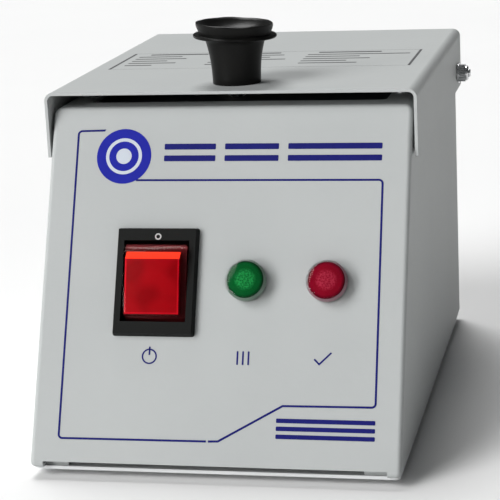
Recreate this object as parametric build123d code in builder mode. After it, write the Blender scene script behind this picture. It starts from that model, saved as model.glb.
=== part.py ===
"""Bench glass bead sterilizer: a folded sheet case, a hinged lid and a heated well of glass beads.

Millimetres. X runs across the front, Y runs back from the foot of the front panel, Z is up.
Pieces are drawn with Y = 0 at the panel's lower corner, and save() sets them on the bench with the
origin under the middle of the whole object.
"""
import os
from math import atan2, cos, hypot, radians, sin, sqrt, tan

from build123d import *

# Case: one sheet folded into the sloping front and both sides
SHEET = 1.0
CASE_W = 110.0
CASE_H = 99.0
CASE_FOOT_LEN = 171.0
PANEL_SETBACK = 47.7
PANEL_BEND_R = 1.4
TOP_BEND_R = 2.4
TOP_FLANGE = 9.0
BOTTOM_FLANGE = 11.0
REAR_FLANGE = 9.0
SHADOW_GAP = 2.1
CORNER_LIP = 4.0

# Base plate and feet
BASE_T = 1.0
BASE_INSET = 0.6
BASE_FRONT_INSET = 3.1
FOOT_H = 2.0
FOOT_D = 12.0
FOOT_X = 40.0
FOOT_FRONT_Y = 18.0
FOOT_REAR_Y = 150.0

# Lid: one sheet folded into a top and two side flanges
LID_T = 0.9
LID_SIDE_GAP = 0.8
LID_LIFT = 4.4
LID_DROP = 19.9
LID_FRONT_OVERHANG = 4.0
LID_REAR_OVERHANG = 1.0
LID_BEND_R = 2.6
PIVOT_BACK = 11.5
PIVOT_DROP = 14.0
LID_SWING_GAP = 0.4
BUMPER_X = 49.8
BUMPER_Y = 88.0
BUMPER_R = 3.2
REST_GAP = 0.3

# Knob on the lid
KNOB_FROM_FRONT = 15.6
KNOB_BASE_R = 7.35
KNOB_WAIST_R = 7.2
KNOB_NECK_R = 9.4
KNOB_FLANGE_R = 12.7
KNOB_RIM_R = 11.7
KNOB_FLANGE_Z = 13.8
KNOB_FLANGE_T = 1.5
KNOB_H = 19.3
KNOB_DISH = 5.0
KNOB_WALL = 1.3

# Well of beads
WELL_Y = 107.0
WELL_R = 20.0
WELL_WALL = 1.0
WELL_DEPTH = 50.0
WELL_RIM_W = 7.5
WELL_RIM_T = 1.0
BEAD_FILL = 42.0
DECK_T = 1.0
DECK_PLAY = 0.3

# Heater, insulation and its can
BAND_GAP = 0.2
BAND_T = 2.4
BAND_H = 30.0
BAND_EAR = 7.0
BAND_SPLIT = 5.0
BAND_EAR_T = 1.2
EAR_PLAY = 0.4
JACKET_T = 7.0
CAN_GAP = 0.3
CAN_T = 0.6
CAN_DEPTH = 64.0
CAN_LIP = 4.0

# Heat switch under the well
STUD_R = 2.0
STUD_LEN = 8.0
DISC_R = 8.0
DISC_H = 7.0

# Switch and lamps in one row across the panel
ROW_UP = 56.6
SWITCH_UP = 56.2
SWITCH_X = -19.6
GREEN_X = 8.0
RED_X = 32.0
BEZEL_W = 25.0
BEZEL_H = 32.6
BEZEL_T = 2.2
WINDOW_W = 19.9
WINDOW_H = 24.4
CUTOUT_W = 22.0
CUTOUT_H = 30.0
CUTOUT_PLAY = 0.2
SWITCH_DEPTH = 20.0
SWITCH_WALL = 1.2
ROCKER_SIDE_GAP = 0.4
ROCKER_END_GAP = 0.7
ROCKER_RISE = 3.4
ROCKER_BEVEL = 1.9
ROCKER_DEPTH = 9.0
ROCKER_PIVOT_IN = 2.5
ROCKER_TILT = 8.0
ROCKER_PIN_R = 1.5
RUN_FIT = 0.05
LENS_R = 6.05
LENS_H = 4.2
LENS_WALL = 1.1
BARREL_R = 4.9
BARREL_LEN = 20.0
BARREL_HOLE_PLAY = 0.15
LAMP_NUT_AF = 14.0
LAMP_NUT_T = 3.0

# Terminal block on the base plate
BLOCK_Y = 52.0
BLOCK_W = 30.0
BLOCK_L = 16.0
BLOCK_FOOT_H = 7.0
BLOCK_POLE_H = 6.0
POLE_PITCH = 10.0
POLE_W = 8.0

# Rear fittings
GLAND_X = -32.0
FUSE_X = 32.0
FITTING_Z = 26.0
GLAND_BORE_R = 3.5
GLAND_THREAD_R = 6.0
GLAND_THREAD_LEN = 9.0
GLAND_REACH = 9.0
GLAND_NUT_AF = 18.0
GLAND_COLLAR_R = 7.6
FUSE_THREAD_R = 6.0
FUSE_FLANGE_T = 2.0
FUSE_BODY_LEN = 26.0
FUSE_BORE_R = 5.3
CAP_GAP = 0.3
CAP_LEN = 7.0
CAP_R = 6.6
VENT_LEN = 22.0
VENT_W = 3.0
VENT_PITCH = 8.0
VENT_COUNT = 7
VENT_Z = 66.0

# Lid pivots
PIVOT_PLAY = 0.3
SPACER_R = 3.5
PIVOT_WASHER_T = 0.5
PIVOT_NUT_AF = 5.5
PIVOT_NUT_H = 3.2
PIVOT_NUT_HEX_H = 2.2
PIVOT_END = 0.7

# Screws
M3_R = 1.5
M3_HEAD_R = 2.8
M3_HEAD_H = 1.7
M4_R = 2.0
M4_HEAD_R = 3.75
M4_HEAD_H = 2.4
M4_WASHER_R = 4.5
M4_WASHER_T = 0.8
HOLE_PLAY = 0.1
BASE_SCREW_IN = 6.5
BASE_SCREW_END = 34.0
FLANGE_SCREW_IN = 5.5
DECK_SCREW_FRONT = 22.0
DECK_SCREW_REAR = 26.0
REAR_SCREW_LOW = 12.0
REAR_SCREW_HIGH = 66.0

# Levels and places worked out from the sizes above
BASE_Z = FOOT_H
CASE_Z = BASE_Z + BASE_T
CASE_TOP = CASE_Z + CASE_H
REAR_Y = CASE_FOOT_LEN + SHEET
LID_UNDER = CASE_TOP + LID_LIFT
LID_TOP = LID_UNDER + LID_T
LID_HALF = CASE_W / 2 + LID_SIDE_GAP + LID_T
LID_FRONT = PANEL_SETBACK - LID_FRONT_OVERHANG
LID_REAR = REAR_Y + LID_REAR_OVERHANG
PIVOT_Y = REAR_Y - PIVOT_BACK
PIVOT_Z = LID_TOP - PIVOT_DROP
KNOB_Y = LID_FRONT + KNOB_FROM_FRONT
DECK_TOP = CASE_TOP - SHEET
DECK_UNDER = DECK_TOP - DECK_T
WELL_OUT_R = WELL_R + WELL_WALL
WELL_RIM_R = WELL_OUT_R + WELL_RIM_W
WELL_SCREW_R = (WELL_OUT_R + WELL_RIM_R) / 2
BAND_IN = WELL_OUT_R + BAND_GAP
BAND_OUT = BAND_IN + BAND_T
JACKET_R = BAND_OUT + BAND_EAR + EAR_PLAY
WELL_FLOOR = DECK_TOP - WELL_DEPTH
BEAD_TOP = WELL_FLOOR + BEAD_FILL
CAN_R = JACKET_R + JACKET_T + CAN_GAP
CAN_FLOOR = DECK_UNDER - CAN_DEPTH
TIP_Y = PANEL_BEND_R / tan(atan2(CASE_H, PANEL_SETBACK) / 2) - PANEL_BEND_R
BACK_Y = REAR_Y + FUSE_FLANGE_T + CAP_GAP + CAP_LEN
MIDDLE_Y = (TIP_Y + BACK_Y) / 2
SLOPE_LEN = hypot(PANEL_SETBACK, CASE_H)
SLOPE = (0, PANEL_SETBACK / SLOPE_LEN, CASE_H / SLOPE_LEN)
OUTWARD = (0, -SLOPE[2], SLOPE[1])

panel = Plane(origin=(0, 0, CASE_Z), x_dir=(1, 0, 0), z_dir=OUTWARD)


def on_panel(across, up):
    """Plane on the panel's outer face, facing out, with its Y up the slope."""
    spot = panel.from_local_coords((across, up, 0))
    return Plane(origin=spot, x_dir=(1, 0, 0), z_dir=OUTWARD)


well_section = Plane.XZ.offset(-WELL_Y)
well_axis = Axis((0, WELL_Y, 0), (0, 0, 1))
switch_face = on_panel(SWITCH_X, SWITCH_UP)
lamp_faces = {"green": on_panel(GREEN_X, ROW_UP), "red": on_panel(RED_X, ROW_UP)}

base_screw_spots = [
    (x, y) for x in (-CASE_W / 2 + BASE_SCREW_IN, CASE_W / 2 - BASE_SCREW_IN)
    for y in (BASE_SCREW_END, CASE_FOOT_LEN - BASE_SCREW_END)
]
deck_screw_spots = [
    (x, y) for x in (-CASE_W / 2 + FLANGE_SCREW_IN, CASE_W / 2 - FLANGE_SCREW_IN)
    for y in (PANEL_SETBACK + DECK_SCREW_FRONT, CASE_FOOT_LEN - DECK_SCREW_REAR)
]
rear_screw_spots = [
    (x, z) for x in (-CASE_W / 2 + FLANGE_SCREW_IN, CASE_W / 2 - FLANGE_SCREW_IN)
    for z in (CASE_Z + REAR_SCREW_LOW, CASE_Z + REAR_SCREW_HIGH)
]
well_screw_spots = [
    (WELL_SCREW_R * cos(radians(a)), WELL_Y + WELL_SCREW_R * sin(radians(a))) for a in (90, 210, 330)
]


def pan_screw(shank_r, length, head_r, head_h):
    """Pan-head screw on the Z axis: the head's bearing face at z = 0, the shank downwards."""
    with BuildPart() as screw:
        with BuildSketch(Plane.XZ):
            with BuildLine():
                Polyline((0, head_h), (head_r * 0.55, head_h), (head_r, head_h * 0.45), (head_r, 0))
                Line((head_r, 0), (shank_r, 0))
                Line((shank_r, 0), (shank_r, -length + 0.4))
                Line((shank_r, -length + 0.4), (shank_r - 0.4, -length))
                Line((shank_r - 0.4, -length), (0, -length))
                Line((0, -length), (0, head_h))
            make_face()
        revolve(axis=Axis.Z)
        with BuildSketch(Plane.XY.offset(head_h)):
            Rectangle(head_r * 1.1, 0.7)
            Rectangle(0.7, head_r * 1.1)
        extrude(amount=-head_h * 0.6, mode=Mode.SUBTRACT)
    return screw.part


def hex_nut(across_flats, height, bore_r):
    """Plain hexagon nut standing on z = 0."""
    with BuildPart() as nut:
        with BuildSketch():
            RegularPolygon(across_flats / 2, 6, major_radius=False)
            Circle(bore_r, mode=Mode.SUBTRACT)
        extrude(amount=height)
    return nut.part


def save(piece, name):
    """Set the finished piece about the origin, name it and write it."""
    placed = piece.part.moved(Location((0, -MIDDLE_Y, 0)))
    placed.label = name
    export_step(placed, f"parts/{name}.step")


os.makedirs("parts", exist_ok=True)

# Base plate: flat sheet under the whole case, held by four screws from below
with BuildPart() as base_plate:
    with BuildSketch(Plane.XY.offset(BASE_Z)):
        with Locations((0, (BASE_FRONT_INSET + CASE_FOOT_LEN) / 2)):
            RectangleRounded(CASE_W - 2 * BASE_INSET, CASE_FOOT_LEN - BASE_FRONT_INSET, 1.5)
    extrude(amount=BASE_T)
    with Locations(*[(x, y, CASE_Z) for x, y in base_screw_spots]):
        Hole(M3_R + HOLE_PLAY)
save(base_plate, "base_plate")

# Feet: four low rubber pads with a chamfered tread
foot_spots = {
    "front_left": (-FOOT_X, FOOT_FRONT_Y),
    "front_right": (FOOT_X, FOOT_FRONT_Y),
    "rear_left": (-FOOT_X, FOOT_REAR_Y),
    "rear_right": (FOOT_X, FOOT_REAR_Y),
}
for side, (x, y) in foot_spots.items():
    with BuildPart() as foot:
        with BuildSketch():
            with Locations((x, y)):
                Circle(FOOT_D / 2)
        extrude(amount=FOOT_H)
        chamfer(foot.edges().group_by(Axis.Z)[0], 0.5)
    save(foot, f"foot_{side}")

# Base screws: up through the plate into the case's lower flanges
base_screw = pan_screw(M3_R, 6.0, M3_HEAD_R, M3_HEAD_H)
with BuildPart() as base_screws:
    with Locations(*[Location((x, y, BASE_Z), (180, 0, 0)) for x, y in base_screw_spots]):
        add(base_screw)
save(base_screws, "base_screws")

# Case shell: sloping front, two sides and the return flanges round its openings, one folded sheet
def folded_blank(inset):
    """Solid inside the case's outer faces, or inside its inner faces where inset is the sheet."""
    with BuildPart() as blank:
        with BuildSketch(Plane.YZ):
            with BuildLine():
                Polyline(
                    (0, CASE_Z), (PANEL_SETBACK, CASE_TOP), (CASE_FOOT_LEN, CASE_TOP),
                    (CASE_FOOT_LEN, CASE_Z), close=True,
                )
            make_face()
            if inset:
                offset(amount=-inset, kind=Kind.INTERSECTION)
        extrude(amount=CASE_W / 2 - inset, both=True)
        # The top's side bends are rounder than the crisp bends round the foot, the panel and the back
        crisp = PANEL_BEND_R - inset
        fillet(blank.edges().filter_by(Axis.Y).group_by(Axis.Z)[0], crisp)
        fillet(blank.edges().filter_by(Axis.Y).group_by(Axis.Z)[-1], TOP_BEND_R - inset)
        fillet(blank.faces().sort_by(Axis.Y)[0].edges(), crisp)
        fillet(blank.faces().sort_by(Axis.Y)[-1].edges(), crisp)
    return blank.part


with BuildPart() as case_shell:
    add(folded_blank(0))
    add(folded_blank(SHEET), mode=Mode.SUBTRACT)
    # Top opening behind the flanges
    top_len = CASE_FOOT_LEN - PANEL_SETBACK - 2 * TOP_FLANGE
    with BuildSketch(Plane.XY.offset(CASE_TOP)):
        with Locations((0, PANEL_SETBACK + TOP_FLANGE + top_len / 2)):
            RectangleRounded(CASE_W - 2 * TOP_FLANGE, top_len, 2.0)
    extrude(amount=-2 * SHEET, mode=Mode.SUBTRACT)
    # Bottom opening between the side flanges, open to the front panel
    bottom_len = CASE_FOOT_LEN - BOTTOM_FLANGE - 2 * SHEET
    with BuildSketch(Plane.XY.offset(CASE_Z)):
        with Locations((0, 2 * SHEET + bottom_len / 2)):
            Rectangle(CASE_W - 2 * BOTTOM_FLANGE, bottom_len)
    extrude(amount=2 * SHEET, mode=Mode.SUBTRACT)
    # Shadow gap: the front panel stops short of the base plate between two corner lips
    with BuildSketch(Plane.XY.offset(CASE_Z)):
        Rectangle(CASE_W - 2 * CORNER_LIP, 8 * SHEET)
    extrude(amount=SHADOW_GAP, mode=Mode.SUBTRACT)
    # Rear opening, covered by the rear panel
    with BuildSketch(Plane.XZ.offset(-CASE_FOOT_LEN)):
        with Locations((0, CASE_Z + CASE_H / 2)):
            Rectangle(CASE_W - 2 * REAR_FLANGE, CASE_H - 2 * REAR_FLANGE)
    extrude(amount=2 * SHEET, mode=Mode.SUBTRACT)
    # Cut-outs for the switch and the two lamps
    with BuildSketch(switch_face):
        Rectangle(CUTOUT_W, CUTOUT_H)
    extrude(amount=-3 * SHEET, mode=Mode.SUBTRACT)
    for face in lamp_faces.values():
        with BuildSketch(face):
            Circle(BARREL_R + BARREL_HOLE_PLAY)
        extrude(amount=-3 * SHEET, mode=Mode.SUBTRACT)
    # Pivot holes through both sides
    with BuildSketch(Plane.YZ.offset(-CASE_W / 2 - 1)):
        with Locations((PIVOT_Y, PIVOT_Z)):
            Circle(M3_R + HOLE_PLAY)
    extrude(amount=CASE_W + 2, mode=Mode.SUBTRACT)
    # Screw holes in the lower, upper and rear flanges
    with BuildSketch(Plane.XY.offset(CASE_Z)):
        with Locations(*base_screw_spots):
            Circle(M3_R + HOLE_PLAY)
    extrude(amount=2 * SHEET, mode=Mode.SUBTRACT)
    with BuildSketch(Plane.XY.offset(CASE_TOP)):
        with Locations(*deck_screw_spots):
            Circle(M3_R + HOLE_PLAY)
    extrude(amount=-2 * SHEET, mode=Mode.SUBTRACT)
    with BuildSketch(Plane.XZ.offset(-CASE_FOOT_LEN)):
        with Locations(*rear_screw_spots):
            Circle(M3_R + HOLE_PLAY)
    extrude(amount=2 * SHEET, mode=Mode.SUBTRACT)
save(case_shell, "case_shell")

# Rear panel: flat sheet with a row of vent slots and holes for the cord gland and fuse holder
with BuildPart() as rear_panel:
    panel_foot = CASE_Z + REST_GAP
    # Its top edge stays inside the circle that the lid's underside sweeps as it swings up
    panel_top = PIVOT_Z + sqrt((PIVOT_DROP - LID_T - LID_SWING_GAP) ** 2 - PIVOT_BACK**2)
    with BuildSketch(Plane.XZ.offset(-REAR_Y)):
        with Locations((0, (panel_foot + panel_top) / 2)):
            RectangleRounded(CASE_W - 1.0, panel_top - panel_foot, 1.5)
        with Locations((0, VENT_Z)):
            with GridLocations(VENT_PITCH, 0, VENT_COUNT, 1):
                SlotOverall(VENT_LEN, VENT_W, rotation=90, mode=Mode.SUBTRACT)
        with Locations((GLAND_X, FITTING_Z)):
            Circle(GLAND_THREAD_R + BARREL_HOLE_PLAY, mode=Mode.SUBTRACT)
        with Locations((FUSE_X, FITTING_Z)):
            Circle(FUSE_THREAD_R + BARREL_HOLE_PLAY, mode=Mode.SUBTRACT)
        with Locations(*rear_screw_spots):
            Circle(M3_R + HOLE_PLAY, mode=Mode.SUBTRACT)
    extrude(amount=SHEET)
save(rear_panel, "rear_panel")

# Rear screws
rear_screw = pan_screw(M3_R, 6.0, M3_HEAD_R, M3_HEAD_H)
with BuildPart() as rear_screws:
    with Locations(*[Location((x, REAR_Y, z), (-90, 0, 0)) for x, z in rear_screw_spots]):
        add(rear_screw)
save(rear_screws, "rear_screws")

# Deck plate: closes the top under the lid and carries the well
with BuildPart() as deck_plate:
    deck_front = PANEL_SETBACK + TOP_BEND_R + DECK_PLAY
    deck_back = CASE_FOOT_LEN - TOP_BEND_R - DECK_PLAY
    with BuildSketch(Plane.XY.offset(DECK_UNDER)):
        with Locations((0, (deck_front + deck_back) / 2)):
            RectangleRounded(CASE_W - 2 * TOP_BEND_R - 2 * DECK_PLAY, deck_back - deck_front, 1.0)
        with Locations((0, WELL_Y)):
            Circle(WELL_OUT_R + 0.4, mode=Mode.SUBTRACT)
        with Locations(*(deck_screw_spots + well_screw_spots)):
            Circle(M3_R + HOLE_PLAY, mode=Mode.SUBTRACT)
    extrude(amount=DECK_T)
save(deck_plate, "deck_plate")

deck_screw = pan_screw(M3_R, 6.0, M3_HEAD_R, M3_HEAD_H)
with BuildPart() as deck_screws:
    with Locations(*[(x, y, CASE_TOP) for x, y in deck_screw_spots]):
        add(deck_screw)
save(deck_screws, "deck_screws")

# Well cup: drawn stainless cup with a flat rim and a stud under its floor
with BuildPart() as well_cup:
    with BuildSketch(well_section):
        with BuildLine():
            Polyline(
                (0, WELL_FLOOR), (WELL_R, WELL_FLOOR), (WELL_R, DECK_TOP + WELL_RIM_T),
                (WELL_RIM_R, DECK_TOP + WELL_RIM_T), (WELL_RIM_R, DECK_TOP),
                (WELL_OUT_R, DECK_TOP), (WELL_OUT_R, WELL_FLOOR - WELL_WALL),
                (STUD_R, WELL_FLOOR - WELL_WALL), (STUD_R, WELL_FLOOR - WELL_WALL - DISC_H - STUD_LEN),
                (0, WELL_FLOOR - WELL_WALL - DISC_H - STUD_LEN), close=True,
            )
        make_face()
    revolve(axis=well_axis)
    # Small bevel where the cup's wall meets its floor
    floor_edge = well_cup.edges().filter_by(GeomType.CIRCLE).filter_by_position(
        Axis.Z, WELL_FLOOR - 0.1, WELL_FLOOR + 0.1)
    chamfer(floor_edge, 1.6)
    with Locations(*[(x, y, DECK_TOP + WELL_RIM_T) for x, y in well_screw_spots]):
        Hole(M3_R + HOLE_PLAY, depth=2 * WELL_RIM_T)
save(well_cup, "well_cup")

with BuildPart() as well_screws:
    with Locations(*[(x, y, DECK_TOP + WELL_RIM_T) for x, y in well_screw_spots]):
        add(deck_screw)
save(well_screws, "well_screws")

# Glass beads: the charge that fills the well, a little dished on top
with BuildPart() as glass_beads:
    with BuildSketch(well_section):
        with BuildLine():
            Polyline(
                (5.0, BEAD_TOP - 0.6), (0, BEAD_TOP - 0.6), (0, WELL_FLOOR + 0.1),
                (WELL_R - 2.2, WELL_FLOOR + 0.1), (WELL_R - 0.15, WELL_FLOOR + 2.2),
                (WELL_R - 0.15, BEAD_TOP),
            )
            ThreePointArc((WELL_R - 0.15, BEAD_TOP), (WELL_R * 0.6, BEAD_TOP - 0.4), (5.0, BEAD_TOP - 0.6))
        make_face()
    revolve(axis=well_axis)
save(glass_beads, "glass_beads")

# Band heater: split ring clamped round the cup, its two ears drawn together by a screw
band_z = WELL_FLOOR + 8.0
ear_y = WELL_Y - BAND_OUT - BAND_EAR / 2
clamp_half = BAND_SPLIT / 2 + BAND_EAR_T
with BuildPart() as heater_band:
    with BuildSketch(Plane.XY.offset(band_z)):
        with Locations((0, WELL_Y)):
            Circle(BAND_OUT)
        with Locations((0, ear_y + 0.5)):
            Rectangle(2 * clamp_half, BAND_EAR + 1.0)
        with Locations((0, WELL_Y)):
            Circle(BAND_IN, mode=Mode.SUBTRACT)
        with Locations((0, ear_y + 1.0)):
            Rectangle(BAND_SPLIT, BAND_EAR + 2 * BAND_T + 2.0, mode=Mode.SUBTRACT)
    extrude(amount=BAND_H)
    with BuildSketch(Plane.YZ.offset(-BAND_SPLIT)):
        with Locations((ear_y, band_z + BAND_H / 2)):
            Circle(M3_R + HOLE_PLAY)
    extrude(amount=2 * BAND_SPLIT, mode=Mode.SUBTRACT)
    # Two terminal posts on the band's back
    with BuildSketch(Plane.XZ.offset(-WELL_Y - BAND_OUT + 0.5)):
        with Locations((0, band_z + 8.0), (0, band_z + BAND_H - 8.0)):
            Circle(1.5)
    extrude(amount=-6.0)
save(heater_band, "heater_band")

clamp_screw = pan_screw(M3_R, 2 * clamp_half + 4.0, M3_HEAD_R, M3_HEAD_H)
with BuildPart() as heater_clamp_screw:
    with Locations(Location((clamp_half, ear_y, band_z + BAND_H / 2), (0, 90, 0))):
        add(clamp_screw)
save(heater_clamp_screw, "heater_clamp_screw")

clamp_nut = hex_nut(5.5, 2.4, M3_R)
with BuildPart() as heater_clamp_nut:
    with Locations(Location((-clamp_half, ear_y, band_z + BAND_H / 2), (0, -90, 0))):
        add(clamp_nut)
save(heater_clamp_nut, "heater_clamp_nut")

# Insulation jacket: a ring of ceramic fibre between the heater and the can
jacket_h = CAN_DEPTH - CAN_T - 2.0
with BuildPart() as insulation_jacket:
    with BuildSketch(Plane.XY.offset(CAN_FLOOR + CAN_T)):
        with Locations((0, WELL_Y)):
            Circle(JACKET_R + JACKET_T)
            Circle(JACKET_R, mode=Mode.SUBTRACT)
    extrude(amount=jacket_h)
save(insulation_jacket, "insulation_jacket")

# Heater can: spun sheet can hung from the deck by its lip
with BuildPart() as heater_can:
    with BuildSketch(well_section):
        with BuildLine():
            Polyline(
                (DISC_R + 4.0, CAN_FLOOR), (CAN_R + CAN_T, CAN_FLOOR), (CAN_R + CAN_T, DECK_UNDER - CAN_T),
                (CAN_R + CAN_T + CAN_LIP, DECK_UNDER - CAN_T), (CAN_R + CAN_T + CAN_LIP, DECK_UNDER),
                (CAN_R, DECK_UNDER), (CAN_R, CAN_FLOOR + CAN_T), (DISC_R + 4.0, CAN_FLOOR + CAN_T),
                close=True,
            )
        make_face()
    revolve(axis=well_axis)
save(heater_can, "heater_can")

# Heat switch: a snap-disc switch pressed to the well's floor on its stud, with two tabs
disc_top = WELL_FLOOR - WELL_WALL
with BuildPart() as heat_switch:
    with BuildSketch(Plane.XY.offset(disc_top - DISC_H)):
        with Locations((0, WELL_Y)):
            Circle(DISC_R)
            Circle(STUD_R + HOLE_PLAY, mode=Mode.SUBTRACT)
    extrude(amount=DISC_H)
    with BuildSketch(Plane.XY.offset(disc_top - DISC_H)):
        with Locations((-5.5, WELL_Y), (5.5, WELL_Y)):
            Rectangle(0.8, 6.0)
    extrude(amount=-8.0)
save(heat_switch, "heat_switch")

stud_nut = hex_nut(7.0, 3.2, STUD_R)
with BuildPart() as heat_switch_nut:
    with Locations((0, WELL_Y, disc_top - DISC_H - 3.2)):
        add(stud_nut)
save(heat_switch_nut, "heat_switch_nut")

# Terminal block: three poles on the base plate behind the front panel
with BuildPart() as terminal_block:
    with BuildSketch(Plane.XY.offset(CASE_Z)):
        with Locations((0, BLOCK_Y)):
            Rectangle(BLOCK_W, BLOCK_L)
    extrude(amount=BLOCK_FOOT_H)
    with BuildSketch(Plane.XY.offset(CASE_Z + BLOCK_FOOT_H)):
        with Locations((0, BLOCK_Y)):
            with GridLocations(POLE_PITCH, 0, 3, 1):
                Rectangle(POLE_W, BLOCK_L)
    extrude(amount=BLOCK_POLE_H)
    # Screw wells from above and wire holes from front to back
    with Locations((0, BLOCK_Y, CASE_Z + BLOCK_FOOT_H + BLOCK_POLE_H)):
        with GridLocations(POLE_PITCH, 9.0, 3, 2):
            Hole(1.8, depth=5.0)
    with BuildSketch(Plane.XZ.offset(-BLOCK_Y - BLOCK_L / 2)):
        with Locations((0, CASE_Z + BLOCK_FOOT_H + 1.0)):
            with GridLocations(POLE_PITCH, 0, 3, 1):
                Circle(1.9)
    extrude(amount=BLOCK_L, mode=Mode.SUBTRACT)
save(terminal_block, "terminal_block")

# Switch frame: moulded bezel and body, held in the panel's cut-out by its clips
body_w = CUTOUT_W - 2 * CUTOUT_PLAY
body_h = CUTOUT_H - 2 * CUTOUT_PLAY
pivot_face = Plane(origin=switch_face.from_local_coords((0, 0, -ROCKER_PIVOT_IN)),
                   x_dir=(0, SLOPE[1], SLOPE[2]), z_dir=(1, 0, 0))
with BuildPart() as switch_frame:
    with BuildSketch(switch_face):
        RectangleRounded(BEZEL_W, BEZEL_H, 0.8)
    extrude(amount=BEZEL_T, taper=16)
    with BuildSketch(switch_face):
        Rectangle(body_w, body_h)
    extrude(amount=-SWITCH_DEPTH)
    with BuildSketch(switch_face.offset(BEZEL_T)):
        Rectangle(WINDOW_W, WINDOW_H)
    extrude(amount=-(BEZEL_T + SWITCH_DEPTH - SWITCH_WALL), mode=Mode.SUBTRACT)
    # Snap barbs on the body's long sides, just behind the panel
    with BuildSketch(switch_face.offset(-SHEET - 0.3)):
        with Locations((-body_w / 2, 0), (body_w / 2, 0)):
            Rectangle(1.4, 8.0)
    extrude(amount=-4.0)
    with BuildSketch(pivot_face.offset(-BEZEL_W)):
        Circle(ROCKER_PIN_R + RUN_FIT)
    extrude(amount=2 * BEZEL_W, mode=Mode.SUBTRACT)
save(switch_frame, "switch_frame")

# Switch rocker: see-through cap tilted with its upper end out, on two side pins
rocker_w = WINDOW_W - 2 * ROCKER_SIDE_GAP
half = WINDOW_H / 2 - ROCKER_END_GAP
rise = ROCKER_RISE + ROCKER_PIVOT_IN
tilt_along = Vector(SLOPE) * cos(radians(ROCKER_TILT)) + Vector(OUTWARD) * sin(radians(ROCKER_TILT))
tilt = Plane(origin=pivot_face.origin, x_dir=tilt_along, z_dir=(1, 0, 0))
with BuildPart() as switch_rocker:
    with BuildSketch(tilt.offset(-rocker_w / 2)):
        with BuildLine():
            Polyline(
                (half, -ROCKER_DEPTH / 2), (half, rise - ROCKER_BEVEL),
                (half - ROCKER_BEVEL, rise), (-half + ROCKER_BEVEL, rise),
                (-half, rise - ROCKER_BEVEL), (-half, -ROCKER_DEPTH / 2),
            )
            ThreePointArc((-half, -ROCKER_DEPTH / 2), (0, -ROCKER_DEPTH), (half, -ROCKER_DEPTH / 2))
        make_face()
    extrude(amount=rocker_w)
    flanks = switch_rocker.faces().filter_by(lambda f: abs(f.normal_at().X) > 0.999)
    fillet(flanks.edges().filter_by(lambda e: tilt.to_local_coords(e.center()).Y > ROCKER_PIVOT_IN), 0.8)
    # Pivot pins, just short of the body's outer sides
    pin_end = body_w / 2 - 0.1
    with BuildSketch(pivot_face.offset(-pin_end)):
        Circle(ROCKER_PIN_R)
    extrude(amount=2 * pin_end)
save(switch_rocker, "switch_rocker")

# Switch terminals: four blades out of the body's back
with BuildPart() as switch_terminals:
    with BuildSketch(switch_face.offset(-SWITCH_DEPTH)):
        with GridLocations(11.0, 14.0, 2, 2):
            Rectangle(0.8, 6.3)
    extrude(amount=-8.0)
save(switch_terminals, "switch_terminals")

# Lamps: a lens cap, the barrel that carries it through the panel, and the nut behind
for colour, face in lamp_faces.items():
    lamp_axis = Axis(face.origin, face.z_dir)
    with BuildPart() as lens:
        with BuildSketch(face):
            Circle(LENS_R)
        extrude(amount=LENS_H)
        chamfer(lens.faces().sort_by(lamp_axis)[-1].edges(), 1.3)
        with BuildSketch(face):
            Circle(LENS_R - LENS_WALL)
        extrude(amount=LENS_H - 1.6, mode=Mode.SUBTRACT)
    save(lens, f"{colour}_lens")

    with BuildPart() as barrel:
        with BuildSketch(face):
            Circle(BARREL_R)
        extrude(amount=-BARREL_LEN)
        with BuildSketch(face):
            Circle(BARREL_R - 0.6)
        extrude(amount=LENS_H - 2.2)
        with BuildSketch(face.offset(-BARREL_LEN)):
            with Locations((-2.0, 0), (2.0, 0)):
                Rectangle(0.8, 2.8)
        extrude(amount=-7.0)
    save(barrel, f"{colour}_lamp_body")

    lamp_nut = hex_nut(LAMP_NUT_AF, LAMP_NUT_T, BARREL_R)
    with BuildPart() as nut:
        with Locations(face.offset(-SHEET - LAMP_NUT_T)):
            add(lamp_nut)
    save(nut, f"{colour}_lamp_nut")

# Cord gland: moulded gland through the rear panel, with its lock nut inside; the cord is left out
gland_face = Plane(origin=(GLAND_X, REAR_Y, FITTING_Z), x_dir=(-1, 0, 0), z_dir=(0, 1, 0))
with BuildPart() as cord_gland:
    with BuildSketch(gland_face):
        RegularPolygon(GLAND_NUT_AF / 2, 6, major_radius=False)
    extrude(amount=3.0)
    with BuildSketch(gland_face):
        Circle(GLAND_COLLAR_R)
    extrude(amount=GLAND_REACH)
    fillet(cord_gland.faces().sort_by(Axis.Y)[-1].edges(), 1.5)
    with BuildSketch(gland_face):
        Circle(GLAND_THREAD_R)
    extrude(amount=-GLAND_THREAD_LEN)
    with BuildSketch(gland_face.offset(GLAND_REACH)):
        Circle(GLAND_BORE_R)
    extrude(amount=-GLAND_REACH - GLAND_THREAD_LEN, mode=Mode.SUBTRACT)
save(cord_gland, "cord_gland")

gland_nut = hex_nut(17.0, 4.0, GLAND_THREAD_R)
with BuildPart() as gland_locknut:
    with Locations(Location((GLAND_X, REAR_Y - SHEET, FITTING_Z), (90, 0, 0))):
        add(gland_nut)
save(gland_locknut, "gland_locknut")

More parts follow.
